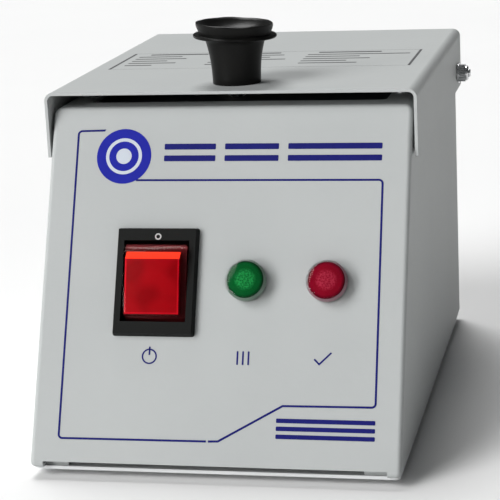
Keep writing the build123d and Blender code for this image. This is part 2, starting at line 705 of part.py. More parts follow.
# Fuse holder: threaded body through the rear panel with a solder tag, its nut, and the bayonet cap
fuse_face = Plane(origin=(FUSE_X, REAR_Y, FITTING_Z), x_dir=(-1, 0, 0), z_dir=(0, 1, 0))
with BuildPart() as fuse_holder:
    with BuildSketch(fuse_face):
        Circle(FUSE_THREAD_R + 1.5)
    extrude(amount=FUSE_FLANGE_T)
    with BuildSketch(fuse_face):
        Circle(FUSE_THREAD_R)
    extrude(amount=-FUSE_BODY_LEN)
    with BuildSketch(fuse_face.offset(FUSE_FLANGE_T)):
        Circle(FUSE_BORE_R)
    extrude(amount=-FUSE_BODY_LEN - FUSE_FLANGE_T + 1.5, mode=Mode.SUBTRACT)
    with BuildSketch(fuse_face.offset(-FUSE_BODY_LEN)):
        Rectangle(4.8, 0.8)
    extrude(amount=-7.0)
save(fuse_holder, "fuse_holder")

with BuildPart() as fuse_cap:
    with BuildSketch(fuse_face.offset(FUSE_FLANGE_T + CAP_GAP)):
        Circle(CAP_R)
    extrude(amount=CAP_LEN)
    chamfer(fuse_cap.faces().sort_by(Axis.Y)[-1].edges(), 0.8)
    with BuildSketch(fuse_face.offset(FUSE_FLANGE_T + CAP_GAP)):
        Circle(FUSE_BORE_R - 0.4)
    extrude(amount=-12.0)
    with BuildSketch(fuse_face.offset(FUSE_FLANGE_T + CAP_GAP + CAP_LEN)):
        Rectangle(9.0, 1.6)
    extrude(amount=-1.8, mode=Mode.SUBTRACT)
save(fuse_cap, "fuse_cap")

fuse_nut_blank = hex_nut(16.0, 3.5, FUSE_THREAD_R)
with BuildPart() as fuse_nut:
    with Locations(Location((FUSE_X, REAR_Y - SHEET, FITTING_Z), (90, 0, 0))):
        add(fuse_nut_blank)
save(fuse_nut, "fuse_nut")

# Lid: folded sheet, open at front and back, pivoting on its side flanges
with BuildPart() as lid:
    with BuildSketch(Plane.XZ.offset(-LID_FRONT)):
        with BuildLine():
            FilletPolyline(
                (-LID_HALF, LID_TOP - LID_DROP), (-LID_HALF, LID_TOP),
                (LID_HALF, LID_TOP), (LID_HALF, LID_TOP - LID_DROP), radius=LID_BEND_R,
            )
            inner = LID_HALF - LID_T
            FilletPolyline(
                (-inner, LID_TOP - LID_DROP), (-inner, LID_UNDER),
                (inner, LID_UNDER), (inner, LID_TOP - LID_DROP), radius=LID_BEND_R - LID_T,
            )
            Line((-LID_HALF, LID_TOP - LID_DROP), (-inner, LID_TOP - LID_DROP))
            Line((LID_HALF, LID_TOP - LID_DROP), (inner, LID_TOP - LID_DROP))
        make_face()
    extrude(amount=-(LID_REAR - LID_FRONT))
    with Locations((0, KNOB_Y, LID_TOP)):
        Hole(M4_R + HOLE_PLAY, depth=2 * LID_T)
    with BuildSketch(Plane.YZ.offset(-LID_HALF - 1)):
        with Locations((PIVOT_Y, PIVOT_Z)):
            Circle(M3_R + RUN_FIT)
    extrude(amount=2 * LID_HALF + 2, mode=Mode.SUBTRACT)
save(lid, "lid")

# Lid knob: moulded funnel-shaped handle with a collar below its rim and a dished top
with BuildPart() as lid_knob:
    with BuildSketch(Plane.XZ.offset(-KNOB_Y)):
        with BuildLine():
            top = LID_TOP
            Polyline(
                (0, top), (KNOB_BASE_R, top), (KNOB_WAIST_R + 0.4, top + 3.0),
                (KNOB_WAIST_R + 1.0, top + 7.0), (KNOB_NECK_R - 0.6, top + 10.5),
                (KNOB_NECK_R + 0.6, top + KNOB_FLANGE_Z), (KNOB_FLANGE_R - 0.6, top + KNOB_FLANGE_Z),
                (KNOB_FLANGE_R, top + KNOB_FLANGE_Z + 0.6),
                (KNOB_FLANGE_R - 0.5, top + KNOB_FLANGE_Z + KNOB_FLANGE_T),
                (KNOB_RIM_R - 0.7, top + KNOB_FLANGE_Z + KNOB_FLANGE_T),
                (KNOB_RIM_R, top + KNOB_H - 0.9), (KNOB_RIM_R - 0.4, top + KNOB_H),
                (KNOB_RIM_R - KNOB_WALL, top + KNOB_H - 0.6), (KNOB_RIM_R * 0.6, top + KNOB_H - 3.6),
                (0, top + KNOB_H - KNOB_DISH), close=True,
            )
        make_face()
    revolve(axis=Axis((0, KNOB_Y, 0), (0, 0, 1)))
    with BuildSketch(Plane.XY.offset(LID_TOP)):
        with Locations((0, KNOB_Y)):
            Circle(M4_R + HOLE_PLAY)
    extrude(amount=9.5, mode=Mode.SUBTRACT)
save(lid_knob, "lid_knob")

# Knob screw: up through a washer and the lid into the knob
knob_screw_blank = pan_screw(M4_R, 10.0, M4_HEAD_R, M4_HEAD_H)
with BuildPart() as knob_screw:
    with Locations(Location((0, KNOB_Y, LID_UNDER - M4_WASHER_T), (180, 0, 0))):
        add(knob_screw_blank)
save(knob_screw, "knob_screw")

with BuildPart() as knob_washer:
    with BuildSketch(Plane.XY.offset(LID_UNDER - M4_WASHER_T)):
        with Locations((0, KNOB_Y)):
            Circle(M4_WASHER_R)
            Circle(M4_R + 0.15, mode=Mode.SUBTRACT)
    extrude(amount=M4_WASHER_T)
save(knob_washer, "knob_washer")

# Lid bumpers: rubber pads under the lid's sides that hold it off the case's top flanges
for side, x in (("left", -BUMPER_X), ("right", BUMPER_X)):
    with BuildPart() as bumper:
        with BuildSketch(Plane.XY.offset(CASE_TOP + REST_GAP)):
            with Locations((x, BUMPER_Y)):
                Circle(BUMPER_R)
        extrude(amount=LID_LIFT - REST_GAP)
        chamfer(bumper.edges().group_by(Axis.Z)[0], 0.6)
    save(bumper, f"lid_bumper_{side}")

# Lid pivots: on each side a screw from inside the case, a spacer, an outer washer and a lock nut
for side, sign in (("left", -1), ("right", 1)):
    out = Plane(origin=(0, PIVOT_Y, PIVOT_Z), x_dir=(0, 1, 0), z_dir=(sign, 0, 0))
    shank = LID_HALF + PIVOT_PLAY + PIVOT_WASHER_T + PIVOT_NUT_H + PIVOT_END
    with BuildPart() as pivot_screw:
        with BuildSketch(out.offset(CASE_W / 2 - SHEET)):
            Circle(M3_R)
        extrude(amount=shank - CASE_W / 2 + SHEET)
        chamfer(pivot_screw.faces().sort_by(Axis((0, 0, 0), (sign, 0, 0)))[-1].edges(), 0.4)
        with BuildSketch(out.offset(CASE_W / 2 - SHEET)):
            Circle(M3_HEAD_R)
        extrude(amount=-M3_HEAD_H)
        chamfer(pivot_screw.faces().sort_by(Axis((0, 0, 0), (sign, 0, 0)))[0].edges(), 0.6)
    save(pivot_screw, f"pivot_screw_{side}")

    with BuildPart() as pivot_spacer:
        with BuildSketch(out.offset(CASE_W / 2)):
            Circle(SPACER_R)
            Circle(M3_R + HOLE_PLAY, mode=Mode.SUBTRACT)
        extrude(amount=LID_SIDE_GAP - PIVOT_PLAY)
    save(pivot_spacer, f"pivot_spacer_{side}")

    with BuildPart() as pivot_washer:
        with BuildSketch(out.offset(LID_HALF + PIVOT_PLAY)):
            Circle(SPACER_R)
            Circle(M3_R + HOLE_PLAY, mode=Mode.SUBTRACT)
        extrude(amount=PIVOT_WASHER_T)
    save(pivot_washer, f"pivot_washer_{side}")

    with BuildPart() as pivot_nut:
        with BuildSketch(out.offset(LID_HALF + PIVOT_PLAY + PIVOT_WASHER_T)):
            RegularPolygon(PIVOT_NUT_AF / 2, 6, major_radius=False)
        extrude(amount=PIVOT_NUT_HEX_H)
        with BuildSketch(out.offset(LID_HALF + PIVOT_PLAY + PIVOT_WASHER_T)):
            Circle(2.6)
        extrude(amount=PIVOT_NUT_H)
        chamfer(pivot_nut.faces().sort_by(Axis((0, 0, 0), (sign, 0, 0)))[-1].edges(), 0.5)
        with BuildSketch(out.offset(LID_HALF)):
            Circle(M3_R + 0.02)
        extrude(amount=10.0, mode=Mode.SUBTRACT)
    save(pivot_nut, f"pivot_nut_{side}")
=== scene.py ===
"""Bench glass bead sterilizer, dressed and lit. Metres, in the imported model's own frame."""
import math
import random

import bmesh
import bpy
from mathutils import Matrix, Vector


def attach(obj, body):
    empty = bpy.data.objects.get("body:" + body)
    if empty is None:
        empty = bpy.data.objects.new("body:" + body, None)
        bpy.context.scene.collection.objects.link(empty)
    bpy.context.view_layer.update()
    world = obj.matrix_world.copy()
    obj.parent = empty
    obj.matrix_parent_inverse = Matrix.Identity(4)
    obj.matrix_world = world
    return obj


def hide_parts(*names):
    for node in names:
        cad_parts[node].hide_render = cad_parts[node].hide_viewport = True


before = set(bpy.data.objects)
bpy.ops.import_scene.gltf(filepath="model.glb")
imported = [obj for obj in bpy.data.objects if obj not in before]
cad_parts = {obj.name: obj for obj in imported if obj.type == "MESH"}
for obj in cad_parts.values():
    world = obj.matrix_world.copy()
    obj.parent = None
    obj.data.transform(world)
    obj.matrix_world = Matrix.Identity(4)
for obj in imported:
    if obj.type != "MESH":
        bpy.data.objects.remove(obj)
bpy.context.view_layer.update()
MM = 0.001

# Places that more than one section uses, in millimetres.
WELL_Y = 15.936
KNOB_Y = -31.764
LID_TOP = 107.3
SWITCH_X = -19.6
LAMP_ROW_UP = 56.6

# Camera, low in front and a little to the right, looking slightly down with a long lens.
# It leans a touch to one side, as a hand-held camera does.
camera = bpy.data.objects.new("camera", bpy.data.cameras.new("camera"))
camera.data.sensor_width = 36.0
camera.data.lens = 132.61
camera.data.clip_start = 0.05
camera.matrix_world = (
    Matrix.Translation((0.12219, -0.57477, 0.19494))
    @ Matrix.Rotation(math.radians(12.53), 4, "Z")
    @ Matrix.Rotation(math.radians(90.0 - 14.16), 4, "X")
    @ Matrix.Rotation(math.radians(-2.74), 4, "Z")
)
bpy.context.scene.collection.objects.link(camera)
bpy.context.scene.camera = camera


# Studio: a pale even floor under soft lights, a strong one from the upper left, a low one from the
# left front and one from behind for the lid, with a weak even room light.
class Shade:
    """A shader socket that can stand in sums, with one call that adds any node to its material."""

    def __init__(self, tree, socket=None):
        self.tree = tree
        self.socket = socket

    def node(self, kind, settings=(), sockets=(), out=0):
        made = self.tree.nodes.new("ShaderNode" + kind)
        for name, value in dict(settings).items():
            setattr(made, name, value)
        for name, value in dict(sockets).items():
            if isinstance(value, Shade):
                self.tree.links.new(value.socket, made.inputs[name])
            else:
                made.inputs[name].default_value = value
        return Shade(self.tree, made.outputs[out]) if made.outputs else None

    def sum(self, operation, first, second):
        return self.node("Math", {"operation": operation}, {0: first, 1: second})

    def __add__(self, other):
        return self.sum("ADD", self, other)

    __radd__ = __add__

    def __rsub__(self, other):
        return self.sum("SUBTRACT", other, self)

    def __mul__(self, other):
        return self.sum("MULTIPLY", self, other)

    def __gt__(self, other):
        return self.sum("GREATER_THAN", self, other)

    def __lt__(self, other):
        return self.sum("LESS_THAN", self, other)


def begin(name):
    """A new material, and the object coordinates that its patterns read."""
    material = bpy.data.materials.new(name)
    material.use_nodes = True
    material.node_tree.nodes.clear()
    return material, Shade(material.node_tree).node("TexCoord", out="Object")


def surface(place, sockets):
    """Close a material with a surface that has these sockets."""
    shader = place.node("BsdfPrincipled", sockets=sockets)
    place.node("OutputMaterial", sockets={"Surface": shader})


def noise(place, scale, detail=3.0, roughness=0.5):
    """Soft cloudy pattern, so many cells to the metre."""
    return place.node("TexNoise", sockets={
        "Vector": place, "Scale": scale, "Detail": detail, "Roughness": roughness,
    })


def blend(place, amount, first, second):
    """Colour between two colours."""
    return place.node(
        "Mix", {"data_type": "RGBA"}, {"Factor": amount, 6: rgba(first), 7: rgba(second)}, out=2,
    )


def between(place, value, low, high, start=0.0, end=1.0):
    """Value carried from the range low to high onto the range start to end, and held past its ends."""
    return place.node("MapRange", sockets={
        "Value": value, "From Min": low, "From Max": high, "To Min": start, "To Max": end,
    })


def rgba(colour):
    """A colour for a socket, with its alpha."""
    return colour if isinstance(colour, Shade) else (*colour, 1.0)


def bump(place, height, distance, strength):
    """Raised and sunk surface from a height pattern, distance in metres."""
    return place.node("Bump", sockets={"Height": height, "Distance": distance, "Strength": strength})


FLOOR_REACH = 6.0
floor_finish, spot = begin("studio_floor")
surface(spot, {
    "Base Color": blend(spot, noise(spot, 6.0), (0.76, 0.76, 0.76), (0.79, 0.79, 0.785)),
    "Roughness": 0.85,
})
shape = bmesh.new()
bmesh.ops.create_grid(shape, x_segments=1, y_segments=1, size=FLOOR_REACH)
floor_mesh = bpy.data.meshes.new("studio_floor")
shape.to_mesh(floor_mesh)
shape.free()
floor_mesh.materials.append(floor_finish)
floor = bpy.data.objects.new("studio_floor", floor_mesh)
bpy.context.scene.collection.objects.link(floor)

for name, strength, turn, height, spread in (
    ("key_light", 2.30, -48.0, 38.0, 34.0),
    ("front_light", 1.52, -42.0, 8.0, 24.0),
    ("back_light", 2.35, -155.0, 60.0, 30.0),
):
    lamp = bpy.data.lights.new(name, "SUN")
    lamp.energy = strength
    lamp.angle = math.radians(spread)
    stand = bpy.data.objects.new(name, lamp)
    stand.matrix_world = (
        Matrix.Rotation(math.radians(turn), 4, "Z")
        @ Matrix.Rotation(math.radians(90.0 - height), 4, "X")
    )
    bpy.context.scene.collection.objects.link(stand)

room = bpy.data.worlds.new("room")
room.use_nodes = True
room.node_tree.nodes["Background"].inputs["Color"].default_value = (0.95, 0.98, 1.0, 1.0)
room.node_tree.nodes["Background"].inputs["Strength"].default_value = 0.08
bpy.context.scene.world = room
bpy.context.scene.view_settings.view_transform = "Standard"


# Case: one folded steel sheet, powder coated cool pale grey, with the fine orange peel of the
# coating, faint clouding and a few specks of dust under the skin.
def coated(name, colour, shade, seed):
    """Powder coat in two close tones."""
    material, place = begin(name)
    place = place.node("Mapping", sockets={"Vector": place, "Location": (seed, seed * 0.7, 0.0)})
    cells = place.node("TexVoronoi", sockets={"Vector": place, "Scale": 75.0})
    picked = place.node("TexVoronoi", sockets={"Vector": place, "Scale": 75.0}, out="Color")
    rare = place.node("SeparateColor", sockets={"Color": picked}) > 0.86
    speck = (cells < 0.028) * rare
    cloud = between(place, noise(place, 22.0, 4.0), 0.35, 0.65)
    peel = noise(place, 620.0, 2.0)
    surface(place, {
        "Base Color": blend(place, speck * 0.7, blend(place, cloud, colour, shade), (0.16, 0.15, 0.14)),
        "Roughness": 0.48 + peel * 0.12,
        "Specular IOR Level": 0.2,
        "Normal": bump(place, peel, 0.00005, 0.6),
    })
    return material


def dress(material, *names):
    """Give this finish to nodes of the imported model."""
    for name in names:
        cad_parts[name].material_slots[0].material = material


case_finish = coated("case_coat", (0.425, 0.441, 0.438), (0.411, 0.427, 0.425), 0.0)
dress(case_finish, "case_shell", "rear_panel")

# Base plate: flat steel sheet, screwed up into the case's lower flanges, in a coat much paler than the
# case's; the paleness is painted light, for the light on its thin front lip.
base_lit_coat = coated("base_coat_painted_light", (0.740, 0.750, 0.755), (0.700, 0.715, 0.720), 0.17)
dress(base_lit_coat, "base_plate")

# Feet and lid bumpers: low pads of black rubber, pressed with a dull skin that holds a little dust.
# The feet stand under the base plate, the two bumpers sit under the lid.
rubber_finish, spot = begin("black_rubber")
dust = noise(spot, 340.0, 4.0)
surface(spot, {
    "Base Color": blend(spot, dust, (0.018, 0.018, 0.018), (0.045, 0.044, 0.042)),
    "Roughness": 0.72 + dust * 0.15,
    "Normal": bump(spot, dust, 0.00008, 0.5),
})
dress(rubber_finish, "foot_front_left", "foot_front_right", "foot_rear_left", "foot_rear_right",
      "lid_bumper_left", "lid_bumper_right")


# Screws, nuts and washers: steel with a bright zinc plate, clouded and finely scratched.
def plated(name, pale, dark, rough, scratch_turn):
    """Plated or bare metal with streaks along one direction."""
    material, place = begin(name)
    along = place.node("Mapping", sockets={
        "Vector": place, "Rotation": scratch_turn, "Scale": (1.0, 1.0, 14.0),
    })
    streak = noise(along, 260.0, 3.0)
    cloud = noise(place, 130.0, 3.0)
    surface(place, {
        "Base Color": blend(place, cloud, pale, dark),
        "Metallic": 1.0,
        "Roughness": rough + streak * 0.14,
        "Normal": bump(place, streak, 0.00003, 0.4),
    })
    return material


zinc_finish = plated("zinc_plate", (0.72, 0.73, 0.74), (0.50, 0.51, 0.52), 0.20, (0.0, 0.0, 0.0))
dress(zinc_finish, "base_screws", "rear_screws", "deck_screws", "well_screws", "heater_clamp_screw",
      "heater_clamp_nut", "heat_switch_nut", "green_lamp_nut", "red_lamp_nut", "knob_screw", "knob_washer",
      "pivot_screw_left", "pivot_screw_right", "pivot_spacer_left", "pivot_spacer_right",
      "pivot_washer_left", "pivot_washer_right", "pivot_nut_left", "pivot_nut_right")

# Rear fittings: cord gland and its lock nut in moulded black nylon, with a faint grain.
nylon_finish, spot = begin("black_nylon")
grain = noise(spot, 900.0, 2.0)
surface(spot, {
    "Base Color": blend(spot, noise(spot, 60.0), (0.014, 0.014, 0.015), (0.028, 0.028, 0.029)),
    "Roughness": 0.42 + grain * 0.16,
    "Normal": bump(spot, grain, 0.00003, 0.5),
})
dress(nylon_finish, "cord_gland", "gland_locknut", "fuse_nut")

# Fuse holder and its bayonet cap, in a harder and glossier black moulding.
gloss_finish, spot = begin("glossy_black")
surface(spot, {
    "Base Color": blend(spot, noise(spot, 90.0), (0.012, 0.012, 0.013), (0.022, 0.022, 0.023)),
    "Roughness": 0.22 + noise(spot, 500.0) * 0.12,
})
dress(gloss_finish, "fuse_holder", "fuse_cap")

# Lamp barrels: threaded sleeves moulded in natural nylon, waxy and a little yellowed, behind the panel.
natural_finish, spot = begin("natural_nylon")
surface(spot, {
    "Base Color": blend(spot, noise(spot, 80.0), (0.70, 0.69, 0.62), (0.62, 0.60, 0.52)),
    "Roughness": 0.38 + noise(spot, 500.0) * 0.14,
})
dress(natural_finish, "green_lamp_body", "red_lamp_body")

# Deck plate: the flat sheet under the lid, in a satin blue-black that is painted shade, standing for the
# deep shade in the gap under the lid;
# dulled and a little dusty round the well.
deck_shade_finish, spot = begin("deck_painted_shade")
soot = noise(spot, 120.0, 4.0)
surface(spot, {
    "Base Color": blend(spot, soot, (0.010, 0.011, 0.015), (0.022, 0.023, 0.028)),
    "Roughness": 0.46 + soot * 0.16,
    "Specular IOR Level": 0.35,
    "Normal": bump(spot, noise(spot, 800.0, 2.0), 0.00004, 0.5),
})
dress(deck_shade_finish, "deck_plate")

# Well: a cup pressed from stainless sheet and turned bright, browned a little by heat at the rim. The
# heater's band, clamped round it, is of the same steel.
steel_finish, spot = begin("well_steel")
middle = spot.node("Mapping", sockets={"Vector": spot, "Location": (0.0, -WELL_Y * MM, 0.0)})
rings = middle.node("TexWave", {"wave_type": "RINGS", "rings_direction": "Z"}, {
    "Vector": middle, "Scale": 900.0, "Distortion": 2.0, "Detail": 2.0,
})
heat = noise(spot, 45.0, 4.0)
surface(spot, {
    "Base Color": blend(spot, heat, (0.62, 0.60, 0.57), (0.52, 0.44, 0.34)),
    "Metallic": 1.0,
    "Roughness": 0.26 + rings * 0.12,
    "Normal": bump(spot, rings, 0.00002, 0.4),
})
dress(steel_finish, "well_cup", "heater_band")

# Glass beads: the charge in the well, clear round beads of two millimetres heaped level.
# The bulk below is one body; the two top layers are single beads.
bead_finish, spot = begin("glass_bead")
surface(spot, {
    "Base Color": blend(spot, noise(spot, 400.0), (0.90, 0.92, 0.92), (0.78, 0.81, 0.82)),
    "Roughness": 0.06,
    "Transmission Weight": 0.55,
    "IOR": 1.5,
})
dress(bead_finish, "glass_beads")


def piece(shape, name, body, finish, sharp=35.0, stands_for=()):
    """Turn a finished shape into a piece that rides on its body."""
    bmesh.ops.remove_doubles(shape, verts=shape.verts, dist=0.000002)
    bmesh.ops.recalc_face_normals(shape, faces=shape.faces)
    for face in shape.faces:
        face.smooth = True
    mesh = bpy.data.meshes.new(name)
    shape.to_mesh(mesh)
    shape.free()
    mesh.set_sharp_from_angle(angle=math.radians(sharp))
    mesh.materials.append(finish)
    made = bpy.data.objects.new(name, mesh)
    bpy.context.scene.collection.objects.link(made)
    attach(made, body)
    if stands_for:
        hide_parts(*stands_for)


BEAD_R = 1.05
BEAD_LEVEL = 93.0 * MM
BEAD_PITCH = 2.2 * MM
BEAD_ROWS = 11
HEAP_R = 18.7
one_bead = bmesh.new()
bmesh.ops.create_uvsphere(one_bead, u_segments=8, v_segments=6, radius=BEAD_R * MM)
bead_mesh = bpy.data.meshes.new("one_bead")
one_bead.to_mesh(bead_mesh)
one_bead.free()
WELL_MIDDLE = Vector((0.0, WELL_Y * MM, 0.0))
shape = bmesh.new()
pick = random.Random(7)
for layer, level in enumerate((BEAD_LEVEL - 1.1 * MM, BEAD_LEVEL + 0.5 * MM)):
    for row in range(-BEAD_ROWS, BEAD_ROWS + 1):
        for step in range(-BEAD_ROWS, BEAD_ROWS + 1):
            x = (step + 0.5 * ((row + layer) % 2)) * BEAD_PITCH + pick.uniform(-0.25, 0.25) * MM
            y = row * BEAD_PITCH * 0.87 + pick.uniform(-0.25, 0.25) * MM
            if math.hypot(x, y) > HEAP_R * MM:
                continue
            z = level - 0.5 * MM * (1.0 - math.hypot(x, y) / (20.0 * MM)) + pick.uniform(-0.3, 0.3) * MM
            seat = Matrix.Translation(WELL_MIDDLE + Vector((x, y, z)))
            bead_mesh.transform(seat)
            shape.from_mesh(bead_mesh)
            bead_mesh.transform(seat.inverted())
piece(shape, "bead_layers", "case", bead_finish, sharp=180.0)

# Insulation jacket: a ring of pressed white ceramic fibre, woolly and a little scorched.
fibre_finish, spot = begin("ceramic_fibre")
wool = noise(spot, 260.0, 6.0, 0.7)
surface(spot, {
    "Base Color": blend(spot, wool, (0.62, 0.60, 0.54), (0.85, 0.84, 0.80)),
    "Roughness": 0.95,
    "Normal": bump(spot, wool, 0.0006, 0.8),
})
dress(fibre_finish, "insulation_jacket")

# Heater can: spun from plain steel sheet and left bare, dulled by warmth.
can_finish = plated("can_steel", (0.45, 0.44, 0.42), (0.30, 0.28, 0.26), 0.38, (0.0, 0.0, 0.0))
dress(can_finish, "heater_can")

# Heat switch and terminal block: fired ceramic, off-white, with fine pores.
ceramic_finish, spot = begin("fired_ceramic")
pores = noise(spot, 700.0, 3.0)
surface(spot, {
    "Base Color": blend(spot, pores, (0.66, 0.63, 0.56), (0.78, 0.76, 0.70)),
    "Roughness": 0.48 + pores * 0.2,
    "Normal": bump(spot, pores, 0.00008, 0.5),
})
dress(ceramic_finish, "heat_switch", "terminal_block")

# Switch blades: half-hard brass, stamped, slightly dulled.
brass_finish = plated("brass_blade", (0.70, 0.52, 0.24), (0.52, 0.37, 0.17), 0.25, (1.57, 0.0, 0.0))
dress(brass_finish, "switch_terminals")

# Switch frame: moulded bezel in black plastic with a satin grain, sprung into the panel.
satin_finish, spot = begin("satin_black")
grain = noise(spot, 1100.0, 2.0)
surface(spot, {
    "Base Color": blend(spot, noise(spot, 70.0), (0.0065, 0.0072, 0.0068), (0.0095, 0.0100, 0.0095)),
    "Roughness": 0.38 + grain * 0.14,
    "Specular IOR Level": 0.07,
    "Normal": bump(spot, grain, 0.00003, 0.5),
})
dress(satin_finish, "switch_frame")

# Panel places: how far across from the middle and how far up the slope from the case's foot.
PANEL_SETBACK = 47.7
PANEL_RISE = 99.0
PANEL_FOOT = Vector((0.0, -91.064 * MM, 3.0 * MM))
PANEL_SLOPE = Vector((0.0, PANEL_SETBACK, PANEL_RISE)).normalized()
PANEL_OUT = Vector((0.0, -PANEL_RISE, PANEL_SETBACK)).normalized()


def seated(place, seat):
    """Coordinates of a piece that lies at this seat."""
    return place.node("Mapping", {"vector_type": "TEXTURE"}, {
        "Vector": place, "Location": seat.to_translation(), "Rotation": seat.to_euler(),
    })


def on_panel(across, up, out=0.0):
    """Lays a shape that is drawn flat about its own middle on the front panel."""
    spot = PANEL_FOOT + PANEL_SLOPE * up * MM + PANEL_OUT * out * MM
    turned = Matrix((Vector((1.0, 0.0, 0.0)), PANEL_SLOPE, PANEL_OUT)).transposed().to_4x4()
    return Matrix.Translation(spot + Vector((across * MM, 0.0, 0.0))) @ turned


# Printing on the panel: dark blue screen ink, a thin border line with a stepped lower edge, a plain
# blue roundel, plain bars where a title stands, and a small sign under the switch and each lamp.
INK_T = 0.03


def screen_ink(name, thick, thin):
    """Matt ink, a little uneven in how thickly the screen laid it."""
    material, place = begin(name)
    surface(place, {
        "Base Color": blend(place, noise(place, 300.0), thick, thin),
        "Roughness": 0.50 + noise(place, 800.0) * 0.12,
        "Specular IOR Level": 0.08,
    })
    return material


navy_finish = screen_ink("navy_ink", (0.0075, 0.0085, 0.115), (0.0105, 0.0120, 0.145))
blue_finish = screen_ink("blue_ink", (0.0100, 0.0140, 0.260), (0.0150, 0.0200, 0.330))
pale_finish = screen_ink("pale_ink", (0.56, 0.60, 0.66), (0.50, 0.54, 0.60))


def flat(shape, corners, rounding=0.0):
    """Add a flat field with these corners, in millimetres, rounded by so much."""
    field = shape.faces.new([shape.verts.new((x * MM, y * MM, 0.0)) for x, y in corners])
    if rounding:
        bmesh.ops.bevel(
            shape, geom=list(field.verts), offset=rounding * MM, offset_type="OFFSET", segments=5,
            profile=0.5, affect="VERTICES", material=-1,
        )


def bar(shape, left, low, right, high, rounding=0.3):
    """Add an upright rectangle."""
    flat(shape, ((left, low), (right, low), (right, high), (left, high)), rounding)


def hollow(shape, face, width):
    """Leave only a line of this width, in millimetres, inside the edge of a flat field."""
    bmesh.ops.inset_region(
        shape, faces=[face], thickness=width * MM, use_boundary=True, use_even_offset=True,
    )
    bmesh.ops.delete(shape, geom=[face], context="FACES_ONLY")


def ring(shape, across, up, outer, inner):
    """Flat ring, or a disc where inner is nothing."""
    made = bmesh.ops.create_circle(
        shape, cap_ends=True, segments=48, radius=outer * MM,
        matrix=Matrix.Translation((across * MM, up * MM, 0.0)),
    )
    if inner:
        hollow(shape, made["verts"][0].link_faces[0], outer - inner)


def inked(shape, name, body, finish, place, lift=0.02):
    """Give printed fields the ink's thickness and lay them in place."""
    bmesh.ops.recalc_face_normals(shape, faces=shape.faces)
    top = bmesh.ops.extrude_face_region(shape, geom=shape.faces[:])
    bmesh.ops.translate(
        shape, verts=[v for v in top["geom"] if isinstance(v, bmesh.types.BMVert)],
        vec=(0.0, 0.0, INK_T * MM),
    )
    bmesh.ops.translate(shape, verts=shape.verts, vec=(0.0, 0.0, lift * MM))
    bmesh.ops.transform(shape, matrix=place, verts=shape.verts)
    piece(shape, name, body, finish)


LINE = 0.62
shape = bmesh.new()
border = shape.faces.new([shape.verts.new((x * MM, y * MM, 0.0)) for x, y in (
    (-46.9, 9.0), (-2.0, 9.2), (-1.4, 9.2), (1.6, 9.3), (20.2, 20.0), (47.4, 20.2), (47.2, 87.5),
    (-27.5, 87.5), (-38.0, 103.0), (-46.9, 102.8),
)])
corners = [v for v in border.verts if abs(v.co.x) > 46.0 * MM]
bmesh.ops.bevel(
    shape, geom=corners, offset=1.4 * MM, offset_type="OFFSET", segments=6, profile=0.5,
    affect="VERTICES", material=-1,
)
shape.faces.ensure_lookup_table()
hollow(shape, shape.faces[0], LINE)
gone = []
for face in shape.faces:
    middle = face.calc_center_median() / MM
    if -2.0 < middle.x < -1.4 and middle.y < 10.0:
        gone.append(face)
    if -38.0 < middle.x < -27.6 and 87.6 < middle.y < 102.9:
        gone.append(face)
bmesh.ops.delete(shape, geom=gone, context="FACES_ONLY")
bmesh.ops.delete(shape, geom=[v for v in shape.verts if not v.link_faces], context="VERTS")
inked(shape, "panel_border", "case", navy_finish, on_panel(0.0, 0.0))

ROUNDEL = (-31.9, 94.6)
shape = bmesh.new()
ring(shape, *ROUNDEL, 8.5, 0.0)
inked(shape, "panel_roundel", "case", blue_finish, on_panel(0.0, 0.0))
shape = bmesh.new()
ring(shape, *ROUNDEL, 5.6, 4.6)
ring(shape, *ROUNDEL, 2.4, 0.0)
inked(shape, "roundel_mark", "case", pale_finish, on_panel(0.0, 0.0), lift=0.06)

shape = bmesh.new()
for left, right in ((-19.4, -3.6), (-0.8, 15.6), (18.4, 46.5)):
    bar(shape, left, 96.6, right, 98.4)
    bar(shape, left, 93.0, right, 94.8)
for low in (10.8, 13.1, 15.4):
    bar(shape, 18.4, low, 47.2, low + 1.3)
inked(shape, "panel_bars", "case", navy_finish, on_panel(0.0, 0.0))

# Small signs in place of captions: a broken ring with a stroke, three upright strokes, and a tick.
shape = bmesh.new()
ring(shape, -20.4, 34.0, 2.3, 1.85)
bar(shape, -20.65, 34.4, -20.15, 36.9, 0.1)
for across in (6.1, 7.75, 9.4):
    bar(shape, across - 0.25, 32.0, across + 0.25, 36.0, 0.1)
flat(shape, ((28.6, 33.9), (29.0, 34.25), (30.3, 32.95), (33.6, 36.2), (33.95, 35.85), (30.3, 32.25)))
inked(shape, "panel_signs", "case", navy_finish, on_panel(0.0, 0.0))

# White ring printed on the bezel's upper border, the off mark.
BEZEL_T = 2.2
white_finish, spot = begin("white_ink")
surface(spot, {
    "Base Color": blend(spot, noise(spot, 500.0), (0.40, 0.40, 0.40), (0.50, 0.50, 0.49)),
    "Roughness": 0.45 + noise(spot, 800.0) * 0.1,
})
shape = bmesh.new()
ring(shape, -19.2, 69.5, 0.98, 0.60)
inked(shape, "off_mark", "case", white_finish, on_panel(0.0, 0.0, BEZEL_T), lift=0.01)
